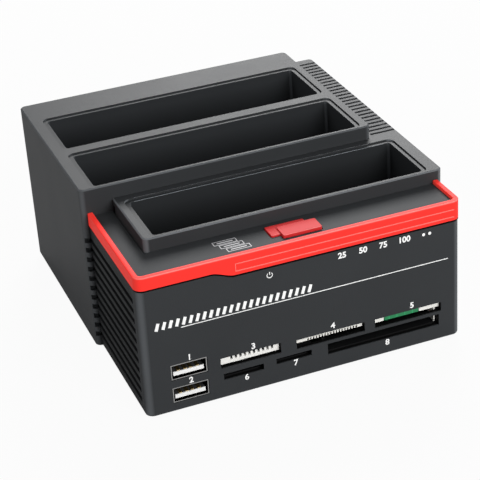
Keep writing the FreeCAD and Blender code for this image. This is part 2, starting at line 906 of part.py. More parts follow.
def right_card_guides():
    """Two white guides beside the board's tab, joined by a bar, and a leg beside the wide card."""
    left, width, low, height = right_card_slot
    tab_left, tab_right = board_tab()
    y0 = front_y + contact_setback
    y1 = bezel_in_y + contact_block_depth
    top = sill_z + low + height - seat_gap
    start = left + seat_gap
    end = left + width - seat_gap
    left_guide = block(start, tab_left - touch_gap, y0, y1, main_low_z, top)
    right_guide = block(tab_right + touch_gap, end, y0, y1, main_low_z, top)
    bar = block(start, end, y1 - touch_gap, y1 + board_rib, main_top_z, top)
    wide_left, wide_width, wide_low, wide_height = wide_card_slot
    wide_end = wide_left + wide_width
    leg = block(wide_end - wide_guide, wide_end - touch_gap, bezel_in_y + touch_gap, y1,
                sill_z + wide_low + touch_gap, main_low_z)
    return joined([left_guide, right_guide, bar, leg])


def wide_card_socket():
    """Rear pin block with two side rails for the widest card, on the lower board."""
    left, width, low, height = wide_card_slot
    y0 = bezel_in_y + touch_gap
    top = sill_z + low + height + socket_side
    body = block(left - socket_side, left + width + socket_side, y0, y0 + wide_socket_depth,
                 card_top_z, top)
    lane = block(left, left + width, y0 - over, y0 + wide_card_depth, sill_z + low, far)
    return body.cut(lane)


def narrow_card_socket(slot):
    """Narrow socket with a closed slot, on the lower board."""
    left, width, low, height = slot
    y0 = bezel_in_y + touch_gap
    body = block(left - socket_side, left + width + socket_side, y0, y0 + small_socket_depth,
                 card_top_z, sill_z + low + height + socket_side)
    return body.cut(slot_hole(slot, y0 - over, y0 + small_card_depth))


def front_port(number):
    """Folded metal shell of a front port, open at the front."""
    y1 = front_y + port_depth
    outside = port_block(number, 0, front_y + touch_gap, y1)
    inside = port_block(number, -port_shell, front_y - over, y1 - port_shell)
    return outside.cut(inside)


def port_tongues():
    """White contact tongues inside the two front ports."""
    tongues = []
    for number in (0, 1):
        low = port_low_z(number) + port_tongue_low
        tongues.append(block(port_x - port_tongue_width / 2, port_x + port_tongue_width / 2,
                             front_y + port_tongue_setback, front_y + port_depth - port_shell,
                             low, low + port_tongue_thickness))
    return Part.makeCompound(tongues)


def port_contacts():
    """Contact blades on top of the two front tongues."""
    y0 = front_y + port_tongue_setback + port_contact_setback
    blades = []
    for number in (0, 1):
        low = port_low_z(number) + port_tongue_low + port_tongue_thickness
        for offset in port_contact_places:
            x = port_x + offset - port_contact_width / 2
            blades.append(block(x, x + port_contact_width, y0, y0 + port_contact_length,
                                low, low + port_contact_thickness))
    return Part.makeCompound(blades)


def port_spacer():
    """Plastic spacer that carries the upper port on the lower one."""
    half = port_width / 2
    return block(port_x - half, port_x + half, bezel_in_y + touch_gap, front_y + port_depth,
                 port_low_z(0) + port_height, port_low_z(1))


def led_board():
    """Upright strip behind the trim that carries the indicator lights."""
    y0 = bezel_in_y + touch_gap
    left = led_places[0] - led_board_margin
    right = led_places[-1] + led_board_margin
    return block(left, right, y0, y0 + led_board_thickness, deck_under_z - led_board_height, deck_under_z)


def light_space(x, grow, y0, y1):
    """Box of one indicator light, grown sideways and upwards."""
    z = trim_top_z - led_drop
    across = led_width / 2 + grow
    upright = led_height / 2 + grow
    return block(x - across, x + across, y0, y1, z - upright, z + upright)


def indicator_leds():
    """Small lights on the strip, reaching through the bezel to the back of the trim."""
    y0 = front_y + trim_web + touch_gap
    return Part.makeCompound([light_space(x, 0, y0, bezel_in_y + touch_gap) for x in led_places])


def drive_socket_place(number):
    """Middle of a rear bay's drive socket."""
    return upper_bay_x + bay_length / 2 + drive_socket_offset, bay_front_y(number) + bay_width / 2


def drive_slots(number):
    """Left ends and lengths of the power slot and the data slot."""
    x = drive_socket_place(number)[0] - drive_socket_length / 2 + drive_slot_margin
    data_x = drive_socket_place(number)[0] + drive_socket_length / 2 - drive_slot_margin - data_slot_length
    return ((x, power_slot_length), (data_x, data_slot_length))


def drive_socket(number):
    """Drive socket with L-shaped power and data slots."""
    x, y = drive_socket_place(number)
    half = drive_socket_length / 2
    top = main_top_z + socket_height
    body = block(x - half, x + half, y - drive_socket_depth / 2, y + drive_socket_depth / 2, main_top_z, top)
    cuts = []
    for left, length in drive_slots(number):
        half_slot = drive_slot_width / 2
        foot_z = top - drive_slot_depth
        slot = block(left, left + length, y - half_slot, y + half_slot, foot_z, top + over)
        hook = block(left, left + half_slot, y, y + drive_slot_width, foot_z, top + over)
        cuts.append(slot.fuse(hook))
    return body.cut(cuts)


def drive_contacts():
    """Contact blades along the front side of the sockets' slots."""
    blades = []
    for number in (0, 1):
        y = drive_socket_place(number)[1] - drive_slot_width / 2
        low = main_top_z + socket_height - drive_slot_depth
        counts = (power_contacts, data_contacts)
        for (left, length), count in zip(drive_slots(number), counts):
            start = left + length / 2 - (count - 1) * contact_pitch / 2
            for step in range(count):
                x = start + step * contact_pitch - contact_width / 2
                high = low + drive_slot_depth - contact_drop
                blades.append(block(x, x + contact_width, y, y + contact_thickness, low, high))
    return Part.makeCompound(blades)


def front_socket_place(offset):
    """Middle of a socket in the front bay."""
    return front_bay_x + bay_length / 2 + offset, bay_front_y(2) + bay_width / 2


def front_drive_socket():
    """Long socket of the front bay with two rows of square pin holes."""
    x, y = front_socket_place(pin_socket_offset)
    top = main_top_z + socket_height
    across = pin_socket_length / 2
    along = pin_socket_depth / 2
    body = block(x - across, x + across, y - along, y + along, main_top_z, top)
    holes = []
    start = x - (pin_columns - 1) * pin_pitch / 2
    for column in range(pin_columns):
        for row in (-1, 1):
            hx = start + column * pin_pitch
            hy = y + row * pin_pitch / 2
            half = pin_hole / 2
            holes.append(block(hx - half, hx + half, hy - half, hy + half, top - pin_hole_depth, top + over))
    return body.cut(holes)


def front_power_socket():
    """Four-way power socket of the front bay."""
    x, y = front_socket_place(power_offset)
    top = main_top_z + socket_height
    across = power_length / 2
    along = power_depth / 2
    body = block(x - across, x + across, y - along, y + along, main_top_z, top)
    start = x - (power_holes - 1) * power_pitch / 2
    half = power_hole / 2
    holes = []
    for number in range(power_holes):
        place = start + number * power_pitch
        holes.append(block(place - half, place + half, y - half, y + half, top - pin_hole_depth, top + over))
    return body.cut(holes)


def bridge_chips():
    """Flat chips on the main board."""
    half = chip_size / 2
    top = main_top_z + chip_height
    chips = []
    for x, y in chip_places:
        chips.append(block(x - half, x + half, y - half, y + half, main_top_z, top))
    return Part.makeCompound(chips)


def capacitors():
    """Round capacitors behind the rear well, counted from the middle of the rear data port."""
    y = rear_y - main_board_rear - capacitor_radius - capacitor_inset
    top = main_top_z + capacitor_height
    cans = [rod(host_x + offset, y, main_top_z, top, capacitor_radius) for offset in capacitor_offsets]
    return Part.makeCompound(cans)


def dc_jack():
    """Power inlet: a block on the board with a round collar through the rear wall."""
    z = main_top_z + jack_height / 2
    body = block(jack_x - jack_width / 2, jack_x + jack_width / 2, rear_in_y - rear_part_depth, rear_in_y,
                 main_top_z, main_top_z + jack_height)
    out = Vector(0, 1, 0)
    collar = Part.makeCylinder(jack_collar_radius, wall, Vector(jack_x, rear_in_y, z), out)
    bore_end = Vector(jack_x, rear_y - jack_bore_depth, z)
    bore = Part.makeCylinder(jack_bore_radius, jack_bore_depth + over, bore_end, out)
    return joined([body, collar]).cut(bore)


def dc_jack_pin():
    """Centre pin of the power inlet."""
    z = main_top_z + jack_height / 2
    root = Vector(jack_x, rear_y - jack_bore_depth, z)
    return Part.makeCylinder(jack_pin_radius, jack_pin_length, root, Vector(0, 1, 0))


def host_port():
    """Square data port at the rear, its mouth with two bevelled upper corners."""
    outside = block(host_x - host_width / 2, host_x + host_width / 2, rear_in_y - rear_part_depth, rear_y,
                    main_top_z, main_top_z + host_height)
    return outside.cut(host_mouth())


def host_mouth():
    """Cavity of the rear data port."""
    z = main_top_z + (host_height - host_mouth_height) / 2
    half = host_mouth_width / 2
    top = z + host_mouth_height
    y0 = rear_y - host_depth
    outline = [(-half, z), (half, z), (half, top - host_shoulder), (half - host_shoulder, top),
               (host_shoulder - half, top), (-half, top - host_shoulder), (-half, z)]
    wire = Part.makePolygon([Vector(host_x + x, y0, height) for x, height in outline])
    return Part.Face(wire).extrude(Vector(0, host_depth + over, 0))


def host_tongue():
    """Contact tongue in the middle of the rear data port."""
    z = main_top_z + host_height / 2
    half = host_tongue_width / 2
    y0 = rear_y - host_depth
    return block(host_x - half, host_x + half, y0, y0 + host_tongue_length,
                 z - host_tongue_height / 2, z + host_tongue_height / 2)


def switch_pivot():
    """Point on the rocker's hinge line."""
    return Vector(switch_x, rear_y + switch_flange - rocker_skirt / 2, sill_z + switch_height_mid)


def power_switch_frame():
    """Snap-in switch frame: flange on the rear wall, body behind it and a well for the rocker."""
    rim = switch_space(switch_frame_width, switch_frame_height, rear_y, rear_y + switch_flange)
    body = switch_space(switch_body_width, switch_body_height, rear_y - switch_body_depth, rear_y)
    hollow = switch_space(rocker_width + 2 * rocker_gap, rocker_height + 2 * rocker_gap,
                          rear_y + switch_flange - 2 * rocker_skirt, far)
    pivot = switch_pivot()
    reach = rocker_width / 2 + rocker_gap + rocker_pivot_depth
    bearing = Part.makeCylinder(rocker_pivot_radius + pivot_gap, 2 * reach,
                                pivot - Vector(reach, 0, 0), Vector(1, 0, 0))
    return joined([rim, body]).cut([hollow, bearing])


def power_rocker():
    """Rocker with two sloping faces and side pins, resting with its lower end pressed."""
    pivot = switch_pivot()
    half = rocker_height / 2
    y_edge = rear_y + switch_flange
    skirt_y = y_edge - rocker_skirt
    dip = rocker_crown / 2
    skirt_half = half * rocker_skirt_share
    outline = [(skirt_y, -skirt_half), (y_edge, -half), (y_edge + rocker_crown, -half),
               (y_edge + dip, 0), (y_edge + rocker_crown, half), (y_edge, half), (skirt_y, skirt_half)]
    points = [Vector(switch_x - rocker_width / 2, y, pivot.z + z) for y, z in outline]
    body = Part.Face(Part.makePolygon(points + points[:1])).extrude(Vector(rocker_width, 0, 0))
    reach = rocker_width / 2 + rocker_gap + rocker_pivot_reach
    pins = Part.makeCylinder(rocker_pivot_radius, 2 * reach, pivot - Vector(reach, 0, 0), Vector(1, 0, 0))
    rocker = joined([body, pins])
    rocker.rotate(pivot, Vector(1, 0, 0), -rocker_tilt)
    return rocker


def wells():
    """The three drive wells with the floor windows of their sockets."""
    made = {}
    for number, name in enumerate(("rear_drive_well", "middle_drive_well")):
        windows = [floor_window(*drive_socket_place(number), drive_socket_length, drive_socket_depth)]
        made[name] = drive_well(upper_bay_x, bay_front_y(number), upper_z, windows)
    windows = [floor_window(*front_socket_place(pin_socket_offset), pin_socket_length, pin_socket_depth),
               floor_window(*front_socket_place(power_offset), power_length, power_depth)]
    made["front_drive_well"] = drive_well(front_bay_x, bay_front_y(2), bay_z, windows)
    return made


parts = {
    "upper_shell": upper_shell(),
    "vent_shell": vent_shell(),
    "base_tray": base_tray(),
    "front_bezel": front_bezel(),
    "light_trim": light_trim(),
    "copy_button": copy_button(),
    "switch_plunger": switch_plunger(),
    "key_switch": key_switch(),
    "key_board": key_board(),
    "main_board": main_board(),
    "bridge_chips": bridge_chips(),
    "capacitors": capacitors(),
    "rear_drive_socket": drive_socket(0),
    "middle_drive_socket": drive_socket(1),
    "drive_contacts": drive_contacts(),
    "front_drive_socket": front_drive_socket(),
    "front_power_socket": front_power_socket(),
    "card_board": card_board(),
    "left_card_contacts": left_card_contacts(),
    "middle_card_contacts": middle_card_contacts(),
    "right_card_guides": right_card_guides(),
    "wide_card_socket": wide_card_socket(),
    "small_card_socket": narrow_card_socket(small_card_slot),
    "tiny_card_socket": narrow_card_socket(tiny_card_slot),
    "lower_front_port": front_port(0),
    "upper_front_port": front_port(1),
    "port_tongues": port_tongues(),
    "port_contacts": port_contacts(),
    "port_spacer": port_spacer(),
    "led_board": led_board(),
    "indicator_leds": indicator_leds(),
    "dc_jack": dc_jack(),
    "dc_jack_pin": dc_jack_pin(),
    "host_port": host_port(),
    "host_tongue": host_tongue(),
    "power_switch_frame": power_switch_frame(),
    "power_rocker": power_rocker(),
    "rubber_feet": rubber_feet(),
    "base_screws": base_screws(),
    "board_screws": board_screws(),
}
parts.update(wells())

os.makedirs("parts", exist_ok=True)
for name, shape in parts.items():
    shape.exportStep(f"parts/{name}.step")
    print(name, "solids", len(shape.Solids), "valid", shape.isValid(), "volume", round(shape.Volume, 1))
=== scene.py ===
# %% [markdown]
# # A drive docking station, dressed for the picture
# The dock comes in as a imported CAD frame: every moulding, board, socket and screw is already in its
# place, in metres, with X to the right, Y to the rear and Z up. What is left to do here is the look:
# finishes, printed marks, soft edges and light. Each step below says what the real piece is, how it
# could be made, and why it is made this way.

# %% Load the frame
import json
import math
import bmesh
import bpy
import numpy as np
from mathutils import Matrix


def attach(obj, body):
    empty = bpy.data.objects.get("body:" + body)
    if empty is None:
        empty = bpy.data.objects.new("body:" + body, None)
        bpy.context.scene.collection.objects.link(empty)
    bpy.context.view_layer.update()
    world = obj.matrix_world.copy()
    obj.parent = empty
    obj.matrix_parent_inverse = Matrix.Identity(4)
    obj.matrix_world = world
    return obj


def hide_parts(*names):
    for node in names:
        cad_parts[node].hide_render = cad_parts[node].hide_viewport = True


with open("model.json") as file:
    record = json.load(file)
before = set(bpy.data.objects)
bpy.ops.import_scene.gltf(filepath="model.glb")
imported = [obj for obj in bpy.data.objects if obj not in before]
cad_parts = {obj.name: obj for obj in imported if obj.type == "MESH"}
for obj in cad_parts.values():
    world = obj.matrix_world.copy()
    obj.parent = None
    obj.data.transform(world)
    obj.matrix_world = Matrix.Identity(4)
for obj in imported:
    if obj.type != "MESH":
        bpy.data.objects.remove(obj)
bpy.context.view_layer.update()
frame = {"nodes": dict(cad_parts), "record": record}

node = frame["nodes"]

# %% [markdown]
# ## Camera
# The photograph was taken with a long lens from the front left, a little above the dock and with a
# slight roll. The camera below has the same place, turn and lens, found by fitting a pinhole camera
# to corners of the bays. Three angles could state the turn, but their order is easy to mix up, so a
# matrix of three axes does it.

# %% Camera
MM = 0.001
SENSOR_MM = 36.0
IMAGE_PIXELS = 480
FOCAL_PIXELS = 1607.46
camera_place = np.array([-182.75, -512.78, 323.65]) * MM
camera_right = (0.9275798, -0.3690059, -0.0585700)
camera_up = (0.2269741, 0.4320103, 0.8728401)
camera_back = (-0.2967803, -0.8229227, 0.4844787)


def set_up(thing, right, up, back, place):
    """Puts a camera or lamp in place: it looks along minus back, with right and up as image axes."""
    bpy.context.collection.objects.link(thing)
    axes = np.column_stack([right, up, back, place])
    thing.matrix_world = Matrix(np.vstack([axes, (0, 0, 0, 1)]).tolist())
    return thing


camera = bpy.data.objects.new("camera", bpy.data.cameras.new("camera"))
set_up(camera, camera_right, camera_up, camera_back, camera_place)
camera.data.sensor_width = SENSOR_MM
camera.data.lens = FOCAL_PIXELS / IMAGE_PIXELS * SENSOR_MM
camera.data.clip_start = 0.01
camera.data.clip_end = 20.0
bpy.context.scene.camera = camera
print("camera: lens %.1f mm at %.2f m" % (camera.data.lens, np.linalg.norm(camera_place)))

# %% [markdown]
# ## Shader maths as expressions
# A material is a graph of nodes. Written node by node it is long and hard to read, so a small class
# wraps a socket and lets ordinary operators add the Math nodes. A line such as 0.5 * noise + 0.2 then
# reads as it would on paper.


# %% Socket class
class Value:
    """A socket in a graph: arithmetic on it adds Math nodes."""

    def __init__(self, graph, socket):
        self.graph = graph
        self.socket = socket

    def __add__(self, other):
        return self.graph.math("ADD", self, other)

    __radd__ = __add__

    def __sub__(self, other):
        return self.graph.math("SUBTRACT", self, other)

    def __rsub__(self, other):
        return self.graph.math("SUBTRACT", other, self)

    def __mul__(self, other):
        return self.graph.math("MULTIPLY", self, other)

    __rmul__ = __mul__

    def __gt__(self, other):
        return self.graph.math("GREATER_THAN", self, other)

    def __lt__(self, other):
        return self.graph.math("LESS_THAN", self, other)

    def __abs__(self):
        return self.graph.math("ABSOLUTE", self)

    def larger(self, other):
        """The larger of two values."""
        return self.graph.math("MAXIMUM", self, other)

    def clamp(self, low=0.0, high=1.0):
        """The value held between two limits."""
        return self.graph.math("MINIMUM", self.larger(low), high)

    def within(self, low, high):
        """1 between two limits, 0 elsewhere."""
        return (self > low) * (self < high)

    def fraction(self):
        """What is left of the value without its whole steps."""
        return self.graph.math("FRACT", self)


print("socket class:", Value.__name__)

# %% [markdown]
# ## One builder for all other nodes
# Every node needs the same three things: its type, its settings, and values or links for its sockets.
# They could be written out each time, but one method that takes all three keeps a finish as short as
# its recipe. A graph belongs to a material or to the world, and a finish is a graph that ends in a
# Principled shader.


# %% Node builder
class Graph:
    """The nodes of a material or of the world, started afresh."""

    def __init__(self, tree):
        self.tree = tree
        tree.nodes.clear()

    def feed(self, socket, value):
        """Links a value to a socket, or writes a plain number or colour into it."""
        if isinstance(value, Value):
            self.tree.links.new(value.socket, socket)
        else:
            socket.default_value = value

    def node(self, kind, settings, sockets, output=0):
        """A node by type: its settings are set first, then its sockets are fed."""
        made = self.tree.nodes.new(kind)
        for key, value in settings.items():
            setattr(made, key, value)
        for key, value in sockets.items():
            self.feed(made.inputs[key], value)
        return made if output is None else Value(self, made.outputs[output])

    def math(self, operation, *values):
        """A Math node on values and numbers."""
        return self.node("ShaderNodeMath", {"operation": operation}, dict(enumerate(values)))

    def mix(self, share, low, high):
        """Colour between two colours by a share; a colour is three numbers or a link."""
        low, high = [colour if isinstance(colour, Value) else (*colour, 1.0) for colour in (low, high)]
        return self.node("ShaderNodeMix", {"data_type": "RGBA"}, {0: share, 6: low, 7: high}, 2)

    def split(self, vector):
        """The three components of a vector."""
        made = self.node("ShaderNodeSeparateXYZ", {}, {"Vector": vector}, None)
        return [Value(self, socket) for socket in made.outputs]


print("node builder:", Graph.__name__)

# %% [markdown]
# ## What finishes share
# A surface changes with its place and with the way it faces. Place is read in the dock's own
# coordinates, so a pattern stays put when the camera moves, and in millimetres, so a mask has the
# numbers of the drawing. A painted highlight sits where a face is neither flat nor upright, so the
# normal finds the rounded edges and lightens their colour.


# %% Finish class
class Finish(Graph):
    """One material: a graph that ends in a Principled shader."""

    def __init__(self, name, **shader):
        self.material = bpy.data.materials.new(name)
        self.material.use_nodes = True
        super().__init__(self.material.node_tree)
        self.shader = self.node("ShaderNodeBsdfPrincipled", {}, shader)
        self.output = self.node("ShaderNodeOutputMaterial", {}, {"Surface": self.shader}, None)

    def set(self, **sockets):
        """Feeds sockets of the Principled shader by name, with _ for a blank."""
        inputs = self.shader.socket.node.inputs
        for key, value in sockets.items():
            self.feed(inputs[key.replace("_", " ")], value)
        return self

    def place(self):
        """Object coordinates in metres."""
        return self.node("ShaderNodeTexCoord", {}, {}, "Object")

    def millimetres(self):
        """Object coordinates as three values in millimetres."""
        return [1000.0 * axis for axis in self.split(self.place())]

    def normal(self):
        """The three components of the surface normal."""
        return self.split(self.node("ShaderNodeNewGeometry", {}, {}, "Normal"))

    def noise(self, scale, place=None):
        """Cloudy noise from 0 to 1 with features of about 1/scale metres."""
        return self.node("ShaderNodeTexNoise", {"noise_dimensions": "3D"},
                         {"Vector": place or self.place(), "Scale": scale, "Detail": 2.0})

    def edges(self):
        """1 on rounds that face between two axes, 0 on flat faces along an axis."""
        x, y, z = self.normal()
        between_axes = abs(x * y).larger(abs(x * z)).larger(abs(y * z))
        return (2.4 * between_axes - 0.2).clamp()

    def bump(self, height, distance):
        """Surface normal tilted by a height in units of distance millimetres."""
        return self.node("ShaderNodeBump", {}, {"Height": height, "Distance": distance * MM})


def lighter(colour, factor):
    """A colour scaled in brightness."""
    return tuple(min(1.0, channel * factor) for channel in colour)


print("finish class:", Finish.__name__)

# %% [markdown]
# ## Moulded plastics
# Nearly all of the dock is injection-moulded plastic. The mould's cavity was etched, so the skin is a
# fine matte grain that spreads highlights; the wells are smoother and darker. Such a grain is far
# smaller than a pixel here, so noise drives a small bump and a slight change of roughness, and a
# second, broad noise keeps large faces from looking printed.

# %% Recipe for moulded plastic
unlit_black = (0.004, 0.004, 0.004)


def moulded(name, colour, rough, grain=2600.0, depth=0.03, cloud=0.07, gloss=0.4,
            edge_highlight=0.0, black=None, rim_highlight=None):
    """Etched plastic: colour and roughness drift slowly, fine grain makes the bump, rounds get a
    painted highlight.

    The grain is in features per metre and its depth in millimetres; black is a mask of the place for
    painted shade, and rim_highlight one for a painted highlight.
    """
    finish = Finish(name, **{"IOR": 1.5, "Specular IOR Level": gloss})
    drift = finish.noise(45.0)
    fine = finish.noise(grain)
    body = finish.mix(drift, lighter(colour, 1 - cloud), lighter(colour, 1 + cloud))
    if edge_highlight:
        # Painted highlight: rounded edges are lightened towards four times the colour.
        edge_glint = finish.edges() * (edge_highlight * 0.8 + edge_highlight * 0.4 * drift)
        body = finish.mix(edge_glint, body, lighter(colour, 4.0))
    # Painted shade: where the mask says so, the colour goes to unlit black.
    if black:
        body = finish.mix(black(*finish.millimetres()), body, unlit_black)
    if rim_highlight:
        # Painted highlight: rounds where the mask says so are lightened up to fourteen times the
        # colour.
        rim_glint = finish.edges() * rim_highlight(*finish.millimetres())
        body = finish.mix(rim_glint, body, lighter(colour, 14.0))
    finish.set(Base_Color=body,
               Roughness=rough - 0.05 + 0.06 * drift + 0.05 * fine,
               Normal=finish.bump(fine, depth))
    return finish.material


housing_grey = (0.0278, 0.0296, 0.0316)
housing_skin = moulded("housing_skin", housing_grey, 0.52, gloss=0.15, edge_highlight=0.6)
print("first plastic:", housing_skin.name)

# %% [markdown]
# ## Painted shade and highlight by place
# Some mouldings get painted shade or a painted highlight by place: painted shade behind the front
# of the bezel and on its louvred cheek, painted shade that grows towards the floors of the wells, and
# a painted highlight on the front bay's rear rim. Each could be a material of its own, but then the
# mesh would need cutting. A mask of the place, in millimetres, keeps one moulding in one piece.


# %% Masks and the other plastics
def bezel_shade(x, y, z):
    """Painted shade: 1 behind the front's skin, and up to 0.55 on the louvred cheek, growing over 4 mm
    to the rear.
    """
    inner_half, skin_back, shelf_z = 54.0, -68.77, 50.0
    cheek_x, cheek_front, cheek_top = -56.0, -65.0, 54.0
    inside = (abs(x) < inner_half) * (y > skin_back) * (z < shelf_z)
    cheek = (x < cheek_x) * (z < cheek_top)
    return inside + 0.55 * cheek * ((y - cheek_front) * 0.25).clamp()


def well_shade(x, y, z):
    """Grows by 0.028 per millimetre below the mouths of the wells, up to 0.8 at their floors."""
    mouth_z = 63.0
    return ((mouth_z - z) * 0.028).clamp(0.0, 0.8)


def front_bay_rim_highlight(x, y, z):
    """1 on the straight run of the front bay's rear rim, where a painted highlight goes."""
    rim_left, rim_right, rim_front, rim_rear, rim_foot = -44.6, 54.0, -23.0, -18.6, 59.6
    return y.within(rim_front, rim_rear) * (z > rim_foot) * x.within(rim_left, rim_right)


bezel_skin = moulded("bezel_skin", (0.0316, 0.0336, 0.0358), 0.55, gloss=0.07, edge_highlight=0.6,
                     black=bezel_shade)
vent_skin = moulded("vent_skin", housing_grey, 0.52, gloss=0.15, edge_highlight=1.3, rim_highlight=front_bay_rim_highlight)
well_skin = moulded("well_skin", (0.0228, 0.0246, 0.0266), 0.45, grain=1500.0, depth=0.01, gloss=0.09,
                    edge_highlight=0.6, black=well_shade, rim_highlight=front_bay_rim_highlight)
black_nylon = moulded("black_nylon", (0.006, 0.006, 0.0065), 0.42, grain=3000.0, depth=0.01, gloss=0.2)
switch_black = moulded("switch_black", (0.006, 0.006, 0.0063), 0.3, grain=1800.0, depth=0.01,
                       gloss=0.25, edge_highlight=0.8)
white_nylon = moulded("white_nylon", (0.74, 0.73, 0.69), 0.45, grain=3000.0, depth=0.01, cloud=0.04)
foot_rubber = moulded("foot_rubber", (0.02, 0.02, 0.02), 0.8, grain=1200.0, depth=0.05)
clear_epoxy = moulded("clear_epoxy", (0.78, 0.76, 0.72), 0.18, grain=900.0, depth=0.005, cloud=0.06,
                      gloss=0.5)
print("materials in the file:", len(bpy.data.materials))

# %% [markdown]
# ## Red plastics
# The light trim and the push key are red right through: light goes in, scatters and comes back out
# of the depth, so they stay bright on faces that the lamps hardly reach. Subsurface scattering could
# show that, but it is slow to render. A weak red emission looks the same here. Rounds that face up
# and out get a painted highlight. Two masks stored on the trim's points carry a painted highlight in
# the groove and painted shade along the joint under the strip.

# %% Red plastics
glow_red = (0.74, 0.07, 0.05)
round_highlight_red = (0.86, 0.4, 0.38)
groove_highlight_red = (0.9, 0.17, 0.155)
joint_shade_dark = (0.003, 0.001, 0.001)


def dyed(name, colour, rough, glow, lined=False):
    """Red plastic: weak emission for light from its depth, painted highlight on rounds and groove,
    painted shade at the joint.
    """
    finish = Finish(name, **{"IOR": 1.49, "Emission Strength": glow, "Specular IOR Level": 0.05})
    body = finish.mix(finish.noise(60.0), lighter(colour, 0.94), lighter(colour, 1.05))
    x, y, z = finish.normal()
    # Painted highlight on the rounds that face up and out.
    body = finish.mix(abs(y * z), body, round_highlight_red)
    # The weak emission stands in for light scattered back out of the red plastic.
    finish.set(Emission_Color=(*glow_red, 1.0))
    if lined:
        cut, seam = [finish.node("ShaderNodeAttribute", {"attribute_name": mask}, {}, "Fac")
                     for mask in ("cut", "seam")]
        # Painted highlight in the groove, painted shade along the joint under the strip.
        body = finish.mix(seam, finish.mix(cut, body, groove_highlight_red), joint_shade_dark)
        finish.set(Emission_Color=finish.mix(seam, glow_red, (0.0, 0.0, 0.0)))
    return finish.set(Base_Color=body, Roughness=rough + 0.06 * finish.noise(900.0)).material


trim_red = dyed("trim_red", (0.74, 0.019, 0.016), 0.42, 0.3, lined=True)
key_red = dyed("key_red", (0.52, 0.024, 0.026), 0.42, 0.01)
print("red plastics:", trim_red.name, key_red.name)

# %% [markdown]
# ## Boards and metals
# A board is glass fibre under green lacquer, and the copper below shows as faint raised runs. Shells,
# screws and contacts are stamped from drawn metal, which keeps fine streaks along its length. A brick
# pattern gives the runs and a stretched noise the streaks: both need no picture and stay sharp up
# close.


# %% Boards and metals
def board_mask(name, colour):
    """Solder mask: lacquer with lighter, raised runs along the joints of a brick pattern."""
    finish = Finish(name, Roughness=0.35)
    black, white = (0, 0, 0, 1), (1, 1, 1, 1)
    runs = finish.node("ShaderNodeTexBrick", {"offset": 0.5},
                       {"Vector": finish.place(), "Scale": 160.0, "Mortar Size": 0.03,
                        "Color1": black, "Color2": black, "Mortar": white}, "Fac")
    finish.set(Base_Color=finish.mix(runs, colour, lighter(colour, 1.7)),
               Normal=finish.bump(runs, 0.03))
    return finish.material


def metal(name, colour, rough, streak, black=None):
    """Bare sheet metal with faint drawing streaks along X, darkened by painted shade where the mask
    black says so.
    """
    finish = Finish(name, Metallic=1.0)
    streak_scale = (60.0, 2200.0, 2200.0)
    stretched = finish.node("ShaderNodeMapping", {},
                            {"Vector": finish.place(), "Scale": streak_scale})
    grain = finish.noise(1.0, stretched)
    body = finish.mix(grain, lighter(colour, 0.85), lighter(colour, 1.1))
    # Painted shade: where the mask says so, the metal's colour goes to near black.
    if black:
        body = finish.mix(black(*finish.millimetres()), body, (0.03, 0.03, 0.03))
    finish.set(Base_Color=body, Roughness=rough + streak * grain)
    return finish.material


tin_grey = (0.62, 0.62, 0.61)
board_green = board_mask("board_green", (0.015, 0.19, 0.07))
tinned_steel = metal("tinned_steel", tin_grey, 0.24, 0.18)
gold_flash = metal("gold_flash", (0.83, 0.62, 0.27), 0.25, 0.15)
zinc_steel = metal("zinc_steel", (0.5, 0.5, 0.52), 0.3, 0.2)
can_sleeve = metal("can_sleeve", (0.66, 0.66, 0.68), 0.3, 0.15)
print("materials in the file:", len(bpy.data.materials))

# %% [markdown]
# ## Connectors with painted shade
# Behind the front, one white strip shows dark gaps between its contacts, and the ports get dark a
# little way in. Cutting each gap would cost many faces, so a mask of the place paints shade into the
# gaps and the depths.


# %% Two-tone pieces
def painted_shade_plastic(name, colour, other, where):
    """Plastic with painted shade: the mask where gives the share of the other, dark colour."""
    finish = Finish(name, Roughness=0.45)
    body = finish.mix(finish.noise(400.0), lighter(colour, 0.94), lighter(colour, 1.04))
    finish.set(Base_Color=finish.mix(where(*finish.millimetres()), body, other))
    return finish.material


def between_teeth(x, y, z):
    """1 in the gaps of the left strip, which get painted shade: the first half of each of ten steps,
    above the teeth's foot.
    """
    first_x, pitch, foot_z, tooth_front = -28.796, 1.71, 15.53, -67.70
    along = (x - first_x) * (1 / pitch)
    return (along.fraction() < 0.5) * along.within(0.0, 10.0) * (z > foot_z) * (y > tooth_front)


# Painted shade starts this far back, in millimetres of Y, on the tongues and inside the port shells.
tongue_shade_y, port_shade_y = -67.9, -68.95
tooth_strip = painted_shade_plastic("tooth_strip", (0.8, 0.79, 0.76), (0.006, 0.006, 0.006), between_teeth)
tongue_white = painted_shade_plastic("tongue_white", (0.8, 0.8, 0.79), (0.03, 0.03, 0.03),
                        lambda x, y, z: y > tongue_shade_y)
port_steel = metal("port_steel", tin_grey, 0.24, 0.18, lambda x, y, z: y > port_shade_y)
print("materials in the file:", len(bpy.data.materials))

# %% [markdown]
# ## Painting the CAD nodes
# Each CAD node keeps its mesh and only gets a finish. The record already names a material slot for
# every node, so one table from slot to finish paints them all, and a short list names the few nodes
# that differ from the rest of their slot.

